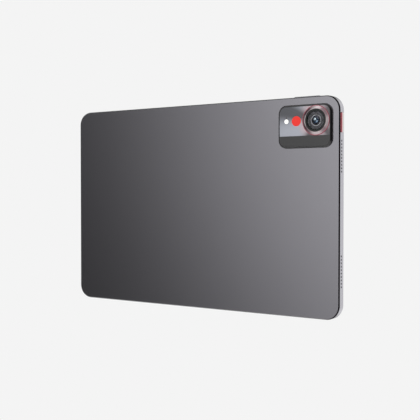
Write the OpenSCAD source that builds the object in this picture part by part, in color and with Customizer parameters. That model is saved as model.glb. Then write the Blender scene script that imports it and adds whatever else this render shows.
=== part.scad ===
// Tablet computer with a metal back, drawn as it comes apart on a bench.
// Every module draws in the view from behind: x to the right, y up from the bottom edge and z out of
// the back, with z = 0 half way through the body. upright() then stands the tablet on its bottom edge,
// with the screen facing -Y, the back facing +Y and the power button on the -X edge.

/* [Body] */
// Length of the long edges
body_l = 253.3; // [211:0.1:305]
// Length of the short edges
body_h = 164.6; // [150:0.1:198]
// Thickness, without the camera island
body_t = 7.3; // [7:0.1:9]
// Radius of the corners seen from behind
corner_r = 11; // [9:0.5:14]
// Thickness of the side walls
side_wall = 1.85; // [1.6:0.05:2.3]
// Thickness of the back wall
back_wall = 0.8; // [0.6:0.05:1]
// Width of the polished bevel between back and sides
back_bevel = 0.75; // [0.3:0.05:0.9]
// How far the polished edge round the back comes down the side wall
back_bevel_down = 1.3; // [0.4:0.05:1.35]
// Width of the metal rim around the glass
rim_w = 1; // [0.7:0.05:1.3]
// Depth of the metal rim below the glass
rim_drop = 0.25; // [0.1:0.05:0.4]

/* [Display] */
// Thickness of the cover glass
glass_t = 0.7; // [0.5:0.05:0.85]
// Black border, body edge to picture, at the short edges
border_x = 9.25; // [8:0.05:12]
// Black border, body edge to picture, at the long edges
border_y = 8.95; // [8.5:0.05:12]
// How far the display panel runs on beyond the picture
panel_margin = 1.5; // [1:0.1:1.8]
// Thickness of the black printed border
print_t = 0.1; // [0.05:0.01:0.15]
// Thickness of the adhesive ring under the glass
ring_tape_t = 0.15; // [0.1:0.01:0.2]
// Thickness of the display panel
panel_t = 1; // [0.8:0.05:1.2]
// Thickness of the light guide
guide_t = 0.7; // [0.5:0.05:0.85]
// Thickness of the sheet steel backlight tray
tray_t = 0.2; // [0.15:0.01:0.25]
// Thickness of the support plate behind the display
plate_t = 0.35; // [0.25:0.05:0.45]
// Thickness of the plastic surround's ledge
ledge_t = 0.35; // [0.3:0.01:0.42]
// Width of the plastic lip seen between glass and metal
lip_w = 0.4; // [0.3:0.05:0.5]

/* [Keys] */
// Power key, length along the edge
power_l = 14.5; // [11:0.1:18]
// Power key, middle below the top edge
power_drop = 20; // [18:0.1:24]
// Volume rocker, length along the edge
volume_l = 21.1; // [17:0.1:25.5]
// Volume rocker, middle from the power key's edge
volume_inset = 27.65; // [27:0.1:34]
// Width of the keys across the edge
key_w = 4.3; // [3.4:0.1:4.4]
// Height of the power key above the edge
power_stand = 0.8; // [0.4:0.05:1]
// Height of the volume rocker above the edge
volume_stand = 0.5; // [0.3:0.05:0.8]
// Gap around a key in its slot
key_fit = 0.1; // [0.08:0.01:0.14]
// Travel of the power key
power_travel = 0.3; // [0.2:0.05:0.35]
// Spacing of the two switches under the rocker
volume_switch_gap = 13; // [10:0.1:15]

/* [Speakers and socket] */
// Sound holes in each row
hole_count = 10; // [8:1:11]
// Distance between sound holes
hole_pitch = 2.5; // [2.1:0.05:2.6]
// Diameter of a sound hole
hole_d = 1.5; // [1:0.05:1.5]
// Height of the sound holes from mid-thickness
hole_z = 0.15; // [0:0.05:0.3]
// Upper speakers, middle below the top edge
speaker_drop = 44.6; // [44:0.1:52]
// Lower speakers, middle above the bottom edge
speaker_rise = 35.8; // [32:0.1:40]
// Speaker box, length along the edge
speaker_h = 30; // [29:0.1:31]
// Speaker box, reach inward from the side wall
speaker_l = 19; // [17:0.1:21]
// Speaker box height
speaker_t = 2.4; // [2:0.1:2.5]
// USB-C socket opening, long way
usb_w = 8.34; // [8.3:0.01:8.4]
// USB-C socket opening, short way
usb_h = 2.56; // [2.5:0.01:2.6]
// Length of the socket shell
usb_l = 7; // [6.6:0.05:7.1]
// Sheet thickness of the socket shell
usb_sheet = 0.3; // [0.25:0.01:0.32]

/* [Camera island] */
// Island length along the top edge
island_l = 44.2; // [40:0.1:48]
// Island height
island_h = 32.2; // [30:0.1:36]
// Island to the power key's edge
island_inset = 5.5; // [4.8:0.1:6]
// Island to the top edge
island_drop = 5.8; // [5.7:0.1:8]
// Island corner radius
island_r = 6.5; // [5:0.1:8]
// Island height above the back
island_stand = 2.2; // [1.8:0.1:2.6]
// Island bevel, inward
island_bevel_in = 1; // [0.9:0.05:1.6]
// Island bevel, downward
island_bevel_down = 1.1; // [0.8:0.05:1.4]
// Width of the island's lip around its two plates
island_lip = 0.45; // [0.3:0.05:0.6]
// Height of the dark band below the window
band_h = 7.5; // [6:0.1:9]
// Thickness of the window and of the band
window_t = 0.8; // [0.6:0.05:0.9]
// Lens middle, from the power key's edge
lens_inset = 18; // [18:0.1:20]
// Lens, badge and lamp middle, below the top edge
lens_drop = 18; // [17.9:0.1:19]
// Outer diameter of the red ring
accent_d = 22.2; // [21:0.1:22.4]
// Outer diameter of the black lens ring
black_ring_d = 17; // [16:0.1:18]
// Diameter of the lens barrel
barrel_d = 6.7; // [6:0.1:7]
// Focus travel of the lens barrel
focus_travel = 0.35; // [0.2:0.05:0.4]
// Badge middle, from the power key's edge
badge_inset = 34.2; // [33:0.1:35]
// Badge diameter
badge_d = 7.5; // [6.5:0.1:8]
// Lamp middle, from the power key's edge
lamp_inset = 42.5; // [41:0.1:43.5]
// Lamp diameter
lamp_d = 3.4; // [2.8:0.1:3.6]
// Microphone hole above the lamp middle
mic_rise = 2.8; // [2.8:0.1:4]

/* [Inside] */
// Thickness of the circuit boards
board_t = 0.8; // [0.6:0.05:0.9]
// Gap between support plate and boards
board_gap = 0.6; // [0.5:0.05:0.7]
// Room for the battery to swell
swell_gap = 0.15; // [0.1:0.01:0.25]
// Thickness of the battery tape
cell_tape_t = 0.2; // [0.1:0.01:0.3]
// Width of the socket column beside the battery
left_column = 23; // [22.5:0.5:27]
// Width of the main board's column beside the battery
right_column = 53; // [52:0.5:56]
// Bottom edge to the battery
cell_rise = 20; // [18:0.5:24]
// Top edge to the battery
cell_drop = 32; // [31:0.5:40]
// Height of the shield cans
can_h = 1.5; // [1.2:0.05:1.6]
// Thickness of the graphite sheet
graphite_t = 0.15; // [0.1:0.01:0.2]
// Width of the main board's long arm
arm_w = 26.5; // [26:0.1:27]
// Diameter of the screw posts
post_d = 3.2; // [2.8:0.1:3.4]
// Diameter of the screw shanks
screw_d = 1.3; // [1.1:0.05:1.4]
// Diameter of the screw heads
head_d = 2.4; // [2:0.1:2.6]

/* [Hidden] */
$fn = 96;
// Overshoot of a cut past the face that it opens, and the gap of two pieces laid side by side
over = 0.5;
fit = 0.05;
flex_t = 0.12;
sheet = 0.2;

// Levels through the thickness, from the glass to the back
front_z = -body_t/2;
back_z = body_t/2;
glass_z = front_z + glass_t;
print_z = glass_z + print_t;
tape_z = print_z + ring_tape_t;
ledge_z = tape_z + ledge_t;
panel_z = print_z + panel_t;
guide_z = panel_z + guide_t;
tray_z = guide_z + tray_t;
plate_z = tray_z + plate_t;
inside_z = back_z - back_wall;
board_z = plate_z + board_gap;
board_back_z = board_z + board_t;
cell_z = plate_z + swell_gap;
cell_back_z = inside_z - cell_tape_t;

// Outlines in the view from behind
mid_y = body_h/2;
inner_x = body_l/2 - side_wall;
inner_top = body_h - side_wall;
rebate_l = body_l - 2*rim_w;
rebate_h = body_h - 2*rim_w;
rebate_r = corner_r - rim_w;
surround_l = rebate_l - 2*fit;
surround_h = rebate_h - 2*fit;
surround_r = rebate_r - fit;
glass_inset = rim_w + fit + lip_w + fit;
glass_l = body_l - 2*glass_inset;
glass_h = body_h - 2*glass_inset;
glass_r = corner_r - glass_inset;
picture_l = body_l - 2*border_x;
picture_h = body_h - 2*border_y;
panel_l = picture_l + 2*panel_margin;
panel_h = picture_h + 2*panel_margin;
panel_r = 1;
panel_top = mid_y + panel_h/2;
panel_gap = 0.3;

// Front camera and light sensor, in the border above the picture
front_camera_y = (panel_top + inner_top)/2;
front_camera_w = 6.5;
front_camera_h = inner_top - panel_top - 2*panel_gap;
front_camera_t = 3;
front_barrel_r = 2;
front_lens_r = 1.4;
sensor_x = 9;
sensor_w = 2;
sensor_t = 0.8;

// Keys: a flange under the wall keeps each key in its slot
key_r = 1.2;
key_bevel = 0.25;
flange_t = 0.6;
flange_ear = 0.8;
flange_w = key_w - 1.1;
power_gap = fit;
volume_gap = 0.3;
plunger_r = 0.8;
plunger_l = 0.6;
plunger_dip = 0.1;
power_y = body_h - power_drop;
power_tail = -power_l/2 - flange_ear - 0.3;
volume_x = body_l/2 - volume_inset;
volume_tail = -volume_switch_gap/2 - 3;
switch_t = 1.3;
switch_l = 3.6;
switch_w = 2.8;
switch_bore_r = 1;
switch_bore = 0.7;
bracket_t = 0.4;
bracket_w = 3.2;
tail_w = 1.8;
rib_w = 1.8;
rib_gap = 0.5;
rib_h = 3.6;
groove = 0.9;
power_flange_z = -(side_wall + power_gap + flange_t);
volume_flange_z = -(side_wall + volume_gap + flange_t);
function switch_top(flange) = flange - plunger_l + plunger_dip;
function bracket_top(flange) = switch_top(flange) - switch_t - flex_t;

// Sound holes, speaker boxes and the screws that hold them
speaker_ys = [body_h - speaker_drop, speaker_rise];
row_l = (hole_count - 1)*hole_pitch;
mesh_t = 0.15;
mesh_l = row_l + hole_d + 1.4;
mesh_w = hole_d + 0.9;
nozzle_l = inner_x - mesh_t - fit - panel_l/2 - panel_gap;
nozzle_t = 2.6;
speaker_x0 = inner_x - mesh_t - fit - speaker_l;
speaker_z0 = board_z - panel_gap;
ear = 4;
speaker_wall = 0.8;
driver_t = 1.5;

// Socket and its board
usb_out_w = usb_w + 2*usb_sheet;
usb_out_h = usb_h + 2*usb_sheet;
usb_mouth_x = -body_l/2 + 0.1;
usb_gap = 0.15;
tongue_w = 6.69;
tongue_t = 0.7;
tongue_l = 4.45;
tongue_base = 1.6;
usb_board_h = 24;
usb_screw_y = 9.5;
usb_screw_x = -inner_x + 2.8;
strap_t = 0.3;
strap_l = 3.4;
mic_y = 14.5;
mic_hole_r = 0.4;

// Island: its frame passes through a cut-out in the back wall
island_x = body_l/2 - island_inset - island_l/2;
island_y = body_h - island_drop - island_h/2;
island_z = back_z + island_stand;
island_fit = 0.1;
island_flange = 1;
island_flange_t = 0.6;
deck_z = island_z - window_t;
deck_t = 0.6;
deck_wall = 1.6;
pocket_l = island_l - 2*island_bevel_in - 2*island_lip;
pocket_h = island_h - 2*island_bevel_in - 2*island_lip;
pocket_r = island_r - island_bevel_in - island_lip;
lens_x = body_l/2 - lens_inset;
lens_y = body_h - lens_drop;
badge_x = body_l/2 - badge_inset;
lamp_x = body_l/2 - lamp_inset;
badge_t = 0.25;
badge_sink = 0.2;

// Lens: rings stacked around the moving barrel
accent_w = 0.5;
accent_stand = 0.35;
collar_stand = 1;
black_stand = 1.25;
black_r = black_ring_d/2;
black_w = 1.6;
lens_window_t = 0.5;
lens_window_sink = 0.2;
barrel_r = barrel_d/2;
barrel_fit = 0.1;
barrel_l = 4.95;
barrel_dome = 0.45;
barrel_clear = 0.2;
barrel_crown = black_stand - lens_window_sink - lens_window_t - focus_travel - barrel_clear;
barrel_foot = barrel_crown - barrel_dome - barrel_l;
cone_steps = 5;
module_w = 11.4;
sensor_board_w = 13.5;
sensor_board_t = 0.5;
module_z = plate_z + 0.1;
// The module is bored down to the barrel's foot, whatever stands below it
module_floor_z = island_z + barrel_foot - fit;

// Boards and battery
arm_x0 = inner_x - right_column + 3.7;
arm_x1 = arm_x0 + arm_w;
arm_y0 = 14;
arm_y1 = island_y - island_h/2 - island_flange - 3.6;
wing_x1 = inner_x - 3.8;
wing_y0 = speaker_ys[1] + speaker_h/2 + 1.2;
wing_y1 = speaker_ys[0] - speaker_h/2 - 1.2;
cell_x0 = -inner_x + left_column;
cell_gap = 1.5;
cell_l = (inner_x - right_column - cell_x0 - cell_gap)/2;
cell_h = body_h - cell_rise - cell_drop;
cell_r = 2;
cell_top = cell_rise + cell_h;
terrace_h = 5;
terrace_t = 0.6;
can_margin = 1.2;
arm_mid = (arm_x0 + arm_x1)/2;
// Shield cans: middle and size
cans = [
    [arm_mid, arm_y1 - 22, 21, 26],
    [arm_mid, arm_y0 + 20, 21, 20],
    [(arm_x1 + wing_x1)/2 - 1, (wing_y0 + wing_y1)/2, 12, 30]
];
// Smaller chips: middle, size and height
chips = [
    [arm_mid - 4, arm_y1 - 31, 12, 6, 0.8],
    [arm_mid, arm_y0 + 23, 7, 7, 0.9],
    [arm_mid - 5, arm_y0 + 14, 5, 5, 0.8],
    [cans[2][0], cans[2][1] + 7, 8, 8, 0.8],
    [cans[2][0], cans[2][1] - 7, 6, 6, 0.7]
];
connector_t = 0.45;
link_w = 2.6;
link_x = speaker_x0 - 0.5;
flex_w = 5;
display_flex_w = 13;
camera_flex_x = arm_x1 - 7;

// Screws: one height for all, because every clamped piece is as thick as a board there
screw_r = screw_d/2;
screw_hole_r = screw_r + 0.1;
head_t = 0.4;
screw_l = 2.4;
screw_bore = 1.8;
board_screws = [
    [arm_x0 + 2.5, arm_y0 + 2.5], [arm_x1 - 2.5, arm_y0 + 2.5], [arm_x0 + 2.5, arm_y1 - 2.5],
    [wing_x1 - 2.5, wing_y0 + 2.5], [wing_x1 - 2.5, wing_y1 - 2.5]
];
// No post can stand where the island's cut-out opens the back wall
function under_island(p) = p[0] > island_x - island_l/2 - island_flange - post_d/2
    && p[1] > island_y - island_h/2 - island_flange - post_d/2;
speaker_ears = [
    for (side = [-1, 1], y = speaker_ys, end = [-1, 1])
        [side*(speaker_x0 + ear/2), y + end*(speaker_h - ear)/2]
];
speaker_screws = [for (p = speaker_ears) if (!under_island(p)) p];
usb_screws = [for (end = [-1, 1]) [usb_screw_x, mid_y + end*usb_screw_y]];
posts = concat(board_screws, speaker_screws, usb_screws);

module upright() {
    rotate([90, 0, 180]) children();
}

// Shape shared by plates: a rectangle with round corners
module rounded(l, h, r) {
    square([l - 2*r, h], center = true);
    square([l, h - 2*r], center = true);
    for (sx = [-1, 1], sy = [-1, 1])
        translate([sx*(l/2 - r), sy*(h/2 - r)]) circle(r);
}

module plate(l, h, r, z0, z1) {
    translate([0, 0, z0]) linear_extrude(z1 - z0) rounded(l, h, r);
}

// Box from one corner to the other
module block(x0, x1, y0, y1, z0, z1) {
    translate([x0, y0, z0]) cube([x1 - x0, y1 - y0, z1 - z0]);
}

// Cuts the top edge of a rounded plate to a slope all the way around
module edge_cut(l, h, r, z, in, down) {
    slope = down/in;
    low = -over;
    profile = [[-in + low, z - low*slope], [over, z - low*slope], [over, z - down - over*slope]];
    for (turn = [0:3]) {
        side = turn % 2 == 0 ? l : h;
        end = turn % 2 == 0 ? h : l;
        rotate([0, 0, 90*turn]) {
            translate([side/2, 0, 0]) rotate([90, 0, 0])
                linear_extrude(end - 2*r, center = true) polygon(profile);
            translate([side/2 - r, end/2 - r, 0])
                rotate_extrude(angle = 90) translate([r, 0]) polygon(profile);
        }
    }
}

module disc(x, y, r, z0, z1) {
    translate([x, y, z0]) cylinder(r = r, h = z1 - z0);
}

// Ring turned from a profile of radii and heights about the lens axis
module lens_turned(points) {
    translate([lens_x, lens_y, island_z]) rotate_extrude() polygon(points);
}

// Places of the keys: x along the edge, z outward from the edge
module at_power() {
    translate([body_l/2, power_y, 0]) rotate([90, 0, 90]) children();
}

module at_volume() {
    translate([volume_x, body_h, 0]) rotate([-90, 0, 0]) children();
}

module key(l, stand, gap, plungers) {
    flange_top = -side_wall - gap;
    difference() {
        plate(l, key_w, key_r, flange_top, stand);
        edge_cut(l, key_w, key_r, stand, key_bevel, key_bevel);
    }
    plate(l + 2*flange_ear, flange_w, key_r, flange_top - flange_t, flange_top);
    for (x = plungers)
        translate([x, 0, flange_top - flange_t - plunger_l]) cylinder(r = plunger_r, h = plunger_l);
}

// The slot, and room for the flange where the wall curves into a corner
module key_slot(l) {
    plate(l + 2*key_fit, key_w + 2*key_fit, key_r + key_fit, -side_wall - over, over);
    plate(l + 2*flange_ear + 2*key_fit, flange_w + 2*key_fit, key_r + key_fit, -side_wall - 3, -side_wall);
}

// Ribs inside the wall, with grooves that hold the bracket behind the switches
module key_ribs(l, flange) {
    reach = l/2 + flange_ear + rib_gap;
    slot_top = bracket_top(flange) + fit;
    deep = slot_top - bracket_t - 2*fit - 0.5;
    for (end = [-1, 1]) scale([end, 1, 1])
        difference() {
            block(reach, reach + rib_w, -rib_h/2, rib_h/2, deep, -side_wall + fit);
            block(reach - over, reach + groove, -rib_h/2 - over, rib_h/2 + over,
                slot_top - bracket_t - 2*fit, slot_top);
        }
}

// The flex's tail leaves through a slot in the bracket
module key_bracket(l, flange, tail) {
    half = l/2 + flange_ear + rib_gap + groove - fit;
    top = bracket_top(flange);
    difference() {
        block(-half, half, -bracket_w/2, bracket_w/2, top - bracket_t, top);
        translate([half - 2.6, 0, top - bracket_t - over]) cylinder(r = 0.6, h = bracket_t + 2*over);
        block(tail - 0.2, tail + tail_w + 0.2, -0.3, 0.3, top - bracket_t - over, top + over);
    }
}

module key_switch(x, flange) {
    top = switch_top(flange);
    translate([x, 0, 0]) difference() {
        block(-switch_l/2, switch_l/2, -switch_w/2, switch_w/2, top - switch_t, top);
        translate([0, 0, top - switch_bore]) cylinder(r = switch_bore_r, h = switch_bore + over);
    }
}

module rear_housing() {
    color([0.56, 0.56, 0.58]) upright() difference() {
        union() {
            difference() {
                translate([0, mid_y, 0]) difference() {
                    plate(body_l, body_h, corner_r, front_z + rim_drop, back_z);
                    edge_cut(body_l, body_h, corner_r, back_z, back_bevel, back_bevel_down);
                    plate(body_l - 2*side_wall, body_h - 2*side_wall, corner_r - side_wall,
                        ledge_z - over, inside_z);
                    plate(rebate_l, rebate_h, rebate_r, front_z, ledge_z);
                }
                at_power() key_slot(power_l);
                at_volume() key_slot(volume_l);
            }
            for (p = posts) disc(p[0], p[1], post_d/2, board_back_z, inside_z + fit);
            at_power() key_ribs(power_l, power_flange_z);
            at_volume() key_ribs(volume_l, volume_flange_z);
        }
        for (p = posts) disc(p[0], p[1], screw_r + fit, board_back_z - over, board_back_z + screw_bore);
        for (side = [-1, 1], y = speaker_ys, i = [0:hole_count - 1])
            translate([side*(body_l/2 + over), y - row_l/2 + i*hole_pitch, hole_z])
                rotate([0, -90*side, 0]) cylinder(d = hole_d, h = side_wall + 2*over);
        translate([-body_l/2 - over, mid_y, 0]) rotate([90, 0, 90])
            linear_extrude(side_wall + 2*over)
                rounded(usb_out_w + 2*usb_gap, usb_out_h + 2*usb_gap, usb_out_h/2 + usb_gap - 0.01);
        translate([-body_l/2 - over, mid_y + mic_y, board_z - 0.5]) rotate([0, 90, 0])
            cylinder(r = mic_hole_r, h = side_wall + 2*over);
        translate([island_x, island_y, 0])
            plate(island_l + 2*island_fit, island_h + 2*island_fit, island_r + island_fit,
                inside_z - over, back_z + over);
    }
}

module cover_glass() {
    color([0.05, 0.05, 0.06, 0.6]) upright() translate([0, mid_y, 0])
        plate(glass_l, glass_h, glass_r, front_z, glass_z);
}

module border_print() {
    color([0.02, 0.02, 0.02]) upright() translate([0, mid_y, 0]) difference() {
        plate(glass_l - 0.2, glass_h - 0.2, glass_r - 0.1, glass_z, print_z);
        block(-picture_l/2, picture_l/2, -picture_h/2, picture_h/2, glass_z - over, print_z + over);
        disc(0, front_camera_y - mid_y, front_lens_r + 0.3, glass_z - over, print_z + over);
        disc(sensor_x, front_camera_y - mid_y, 0.7, glass_z - over, print_z + over);
    }
}

// Room left for the front camera and the light sensor beside the panel
module sensor_notches(z0, z1) {
    low = panel_top - over;
    block(-front_camera_w/2 - panel_gap, front_camera_w/2 + panel_gap, low, inner_top - fit, z0, z1);
    block(sensor_x - sensor_w/2 - panel_gap, sensor_x + sensor_w/2 + panel_gap, low, inner_top - fit, z0, z1);
}

module glass_tape() {
    color([0.15, 0.15, 0.16]) upright() difference() {
        translate([0, mid_y, 0]) difference() {
            plate(glass_l - 0.6, glass_h - 0.6, glass_r - 0.3, print_z, tape_z);
            plate(panel_l + 2*panel_gap, panel_h + 2*panel_gap, panel_r + panel_gap,
                print_z - over, tape_z + over);
        }
        sensor_notches(print_z - over, tape_z + over);
    }
}

module surround() {
    color([0.08, 0.08, 0.09]) upright() difference() {
        translate([0, mid_y, 0]) difference() {
            plate(surround_l, surround_h, surround_r, front_z + rim_drop, ledge_z);
            plate(glass_l + 2*fit, glass_h + 2*fit, glass_r + fit, front_z, tape_z);
            plate(panel_l + 2*panel_gap, panel_h + 2*panel_gap, panel_r + panel_gap,
                tape_z - over, ledge_z + over);
        }
        sensor_notches(tape_z - over, ledge_z + over);
    }
}

module display_panel() {
    color([0.06, 0.07, 0.1]) upright() translate([0, mid_y, 0])
        plate(panel_l, panel_h, panel_r, print_z, panel_z);
}

module light_guide() {
    side = tray_t + fit;
    color([0.9, 0.92, 0.95]) upright() translate([0, mid_y, 0])
        plate(panel_l - 2*side, panel_h - 2*side, panel_r - side, panel_z, guide_z);
}

module backlight_tray() {
    color([0.75, 0.76, 0.78]) upright() translate([0, mid_y, 0]) difference() {
        plate(panel_l, panel_h, panel_r, panel_z, tray_z);
        plate(panel_l - 2*tray_t, panel_h - 2*tray_t, panel_r - tray_t, panel_z - over, guide_z);
    }
}

module support_plate() {
    color([0.62, 0.63, 0.65]) upright() translate([0, mid_y, 0]) difference() {
        plate(panel_l, panel_h, panel_r, tray_z, plate_z);
        for (sx = [-1, 1], sy = [-1, 1])
            disc(sx*(panel_l/2 - 6), sy*(panel_h/2 - 6), 1.5, tray_z - over, plate_z + over);
    }
}

// Runs from the panel's lower edge around the tray and back to the main board
module display_flex() {
    bend_y = mid_y - panel_h/2;
    top = plate_z + flex_t;
    outer = (top - (panel_z - 0.4))/2;
    mid = top - outer;
    width = display_flex_w;
    color([0.75, 0.45, 0.15]) upright() translate([arm_mid - width/2, 0, 0]) {
        translate([0, bend_y - fit, mid]) rotate([90, 0, 90]) linear_extrude(width) difference() {
            circle(outer);
            circle(outer - flex_t);
            translate([0, -2*outer]) square([2*outer, 4*outer]);
        }
        block(0, width, bend_y - fit, arm_y0 + 5.5, plate_z, top);
    }
}

module front_camera() {
    color([0.12, 0.12, 0.13]) upright() translate([0, front_camera_y, 0]) difference() {
        union() {
            block(-front_camera_w/2, front_camera_w/2, -front_camera_h/2, front_camera_h/2,
                print_z + 0.7, print_z + 0.7 + front_camera_t);
            disc(0, 0, front_barrel_r, print_z, print_z + 0.8);
        }
        disc(0, 0, front_lens_r + fit, print_z - over, print_z + 0.6);
    }
}

module front_camera_lens() {
    color([0.1, 0.12, 0.2]) upright() disc(0, front_camera_y, front_lens_r, print_z + 0.1, print_z + 0.6);
}

module light_sensor() {
    color([0.3, 0.3, 0.32]) upright() translate([sensor_x, front_camera_y, 0])
        block(-sensor_w/2, sensor_w/2, -sensor_w/2, sensor_w/2, print_z, print_z + sensor_t);
}

// Two printed antennas behind the black border of the top edge
module antennas() {
    top = inner_top - 0.6;
    color([0.8, 0.55, 0.2]) upright() for (x = [-0.28*body_l, 0.18*body_l]) difference() {
        block(x - 20, x + 20, panel_top + panel_gap + 0.2, top, ledge_z, ledge_z + flex_t);
        block(x - 16, x + 6, panel_top + 1.6, top - 1.2, ledge_z - over, ledge_z + over);
    }
}

module battery_cell(x0) {
    color([0.2, 0.21, 0.23]) upright() {
        translate([x0 + cell_l/2, cell_rise + cell_h/2, 0])
            plate(cell_l, cell_h, cell_r, cell_z, cell_back_z);
        block(x0 + 8, x0 + cell_l - 8, cell_top - fit, cell_top + terrace_h, board_back_z,
            board_back_z + terrace_t);
    }
}

module battery_board() {
    span = cell_l - 16;
    color([0.1, 0.35, 0.2]) upright() {
        block(cell_x0 + cell_l - span/2, cell_x0 + cell_l + cell_gap + span/2, cell_top + 0.4,
            cell_top + terrace_h, board_z, board_back_z);
        for (i = [-2:2])
            block(cell_x0 + cell_l + i*9 - 1.5, cell_x0 + cell_l + i*9 + 1.5, cell_top + 1.5, cell_top + 3.5,
                board_z - 0.5, board_z);
    }
}

module battery_tape() {
    color([0.85, 0.85, 0.8]) upright()
        for (x0 = [cell_x0, cell_x0 + cell_l + cell_gap], side = [0, 1])
            translate([x0 + 6 + side*(cell_l - 32), cell_rise + 6, 0])
                block(0, 20, 0, cell_h - 12, cell_back_z, inside_z);
}

// Power from the battery's board to the top of the main board
module battery_flex() {
    from = cell_x0 + cell_l + cell_gap + (cell_l - 16)/2;
    y0 = cell_top + 0.6;
    color([0.75, 0.45, 0.15]) upright() {
        block(from - 4, arm_x0 + 5.5, y0, y0 + 4, board_z - flex_t, board_z);
        block(arm_x0 + 5.5 - fit, arm_x0 + 9.5, arm_y1 - 6, y0 + 4, board_z - flex_t, board_z);
    }
}

module main_board() {
    color([0.08, 0.3, 0.18]) upright() difference() {
        union() {
            block(arm_x0, arm_x1, arm_y0, arm_y1, board_z, board_back_z);
            block(arm_x1 - fit, wing_x1, wing_y0, wing_y1, board_z, board_back_z);
        }
        for (p = board_screws) disc(p[0], p[1], screw_hole_r, board_z - over, board_back_z + over);
    }
}

module chip(x, y, l, h, t) {
    block(x - l/2, x + l/2, y - h/2, y + h/2, board_back_z, board_back_z + t);
}

module processor() {
    color([0.15, 0.15, 0.16]) upright() chip(arm_mid, cans[0][1] + 4, 14, 14, 1);
}

module board_chips() {
    color([0.18, 0.18, 0.2]) upright() for (c = chips) chip(c[0], c[1], c[2], c[3], c[4]);
}

module shield_cans() {
    color([0.78, 0.79, 0.8]) upright() for (c = cans) translate([c[0], c[1], 0]) difference() {
        block(-c[2]/2, c[2]/2, -c[3]/2, c[3]/2, board_back_z, board_back_z + can_h);
        block(-c[2]/2 + sheet, c[2]/2 - sheet, -c[3]/2 + sheet, c[3]/2 - sheet,
            board_back_z - over, board_back_z + can_h - sheet);
    }
}

module board_connectors() {
    bottom = plate_z + flex_t;
    color([0.7, 0.6, 0.4]) upright() {
        block(arm_mid - display_flex_w/2, arm_mid + display_flex_w/2, arm_y0 + 1.5, arm_y0 + 5,
            bottom, board_z);
        block(arm_x0 + 5.7, arm_x0 + 9.3, arm_y1 - 5.6, arm_y1 - 2, board_z - flex_t - connector_t,
            board_z - flex_t);
        block(camera_flex_x - 2, camera_flex_x + 2, arm_y1 - 5.6, arm_y1 - 2,
            board_z - flex_t - connector_t, board_z - flex_t);
    }
}

module graphite_sheet() {
    z0 = inside_z - graphite_t;
    color([0.25, 0.25, 0.27]) upright() difference() {
        union() {
            block(arm_x0, arm_x1, arm_y0, arm_y1, z0, inside_z);
            block(arm_x1 - fit, wing_x1, wing_y0, wing_y1, z0, inside_z);
        }
        for (p = board_screws) disc(p[0], p[1], post_d/2 + panel_gap, z0 - over, inside_z + over);
    }
}

// Joins the main board to the socket's board around the lower end of the battery
module link_flex() {
    z0 = board_z - flex_t;
    low = arm_y0 - 5;
    end = arm_mid - display_flex_w/2 - 0.4;
    color([0.75, 0.45, 0.15]) upright() {
        block(-link_x, end, low, low + link_w, z0, board_z);
        block(end - 2.2, end, low, arm_y0 + 5, z0, board_z);
        block(-link_x, -link_x + link_w, low, mid_y - usb_board_h/2 + 4, z0, board_z);
    }
}

module usb_board() {
    edge = -inner_x + 0.8;
    notch_x = usb_mouth_x + usb_l + 0.2;
    inner = -link_x + link_w;
    color([0.08, 0.3, 0.18]) upright() translate([0, mid_y, 0]) difference() {
        block(edge, inner, -usb_board_h/2, usb_board_h/2, board_z, board_back_z);
        block(edge - over, notch_x, -usb_out_w/2 - 0.2, usb_out_w/2 + 0.2,
            board_z - over, board_back_z + over);
        block(edge - over, usb_screw_x + 2.6, usb_board_h/2 - 0.6, usb_board_h/2 + over,
            board_z - over, board_back_z + over);
        for (end = [-1, 1])
            disc(usb_screw_x, end*usb_screw_y, screw_hole_r, board_z - over, board_back_z + over);
    }
}

module usb_shell() {
    color([0.8, 0.81, 0.83]) upright() translate([usb_mouth_x, mid_y, 0]) rotate([90, 0, 90]) difference() {
        linear_extrude(usb_l) rounded(usb_out_w, usb_out_h, usb_out_h/2 - 0.01);
        translate([0, 0, -over]) linear_extrude(usb_l + 2*over) rounded(usb_w, usb_h, usb_h/2 - 0.01);
    }
}

module usb_tongue() {
    color([0.1, 0.1, 0.11]) upright() translate([usb_mouth_x, mid_y, 0]) rotate([90, 0, 90]) {
        translate([0, 0, usb_l - tongue_base]) linear_extrude(tongue_base)
            rounded(usb_w - 2*fit, usb_h - 2*fit, usb_h/2 - fit - 0.01);
        translate([0, 0, usb_l - tongue_base - tongue_l]) linear_extrude(tongue_l + fit)
            square([tongue_w, tongue_t], center = true);
    }
}

// Sheet strap over the socket, held by the two screws of its board
module usb_strap() {
    rise = usb_out_h/2 + strap_t + board_z;
    foot = usb_screw_y + 2;
    knee = usb_out_w/2 + fit;
    color([0.7, 0.71, 0.73]) upright()
        translate([usb_screw_x - strap_l/2, mid_y, board_z]) difference() {
            for (end = [0, 1]) mirror([0, end, 0]) {
                block(0, strap_l, knee, foot, -strap_t, 0);
                block(0, strap_l, knee, knee + strap_t, -rise, 0);
                block(0, strap_l, 0, knee + strap_t, -rise, -rise + strap_t);
            }
            for (end = [-1, 1])
                disc(strap_l/2, end*usb_screw_y, screw_hole_r, -strap_t - over, over);
        }
}

module microphones() {
    color([0.75, 0.65, 0.45]) upright() {
        difference() {
            block(lamp_x - 1.5, lamp_x + 1.5, lens_y + mic_rise - 1, lens_y + mic_rise + 2,
                deck_z - deck_t - 1, deck_z - deck_t);
            disc(lamp_x, lens_y + mic_rise, mic_hole_r, deck_z - deck_t - 0.5, deck_z);
        }
        difference() {
            block(-inner_x + 0.1, -inner_x + 3.1, mid_y + mic_y - 1.3, mid_y + mic_y + 1.3,
                board_z - 1, board_z);
            translate([-inner_x - over, mid_y + mic_y, board_z - 0.5]) rotate([0, 90, 0])
                cylinder(r = mic_hole_r, h = 1);
        }
    }
}

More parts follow.
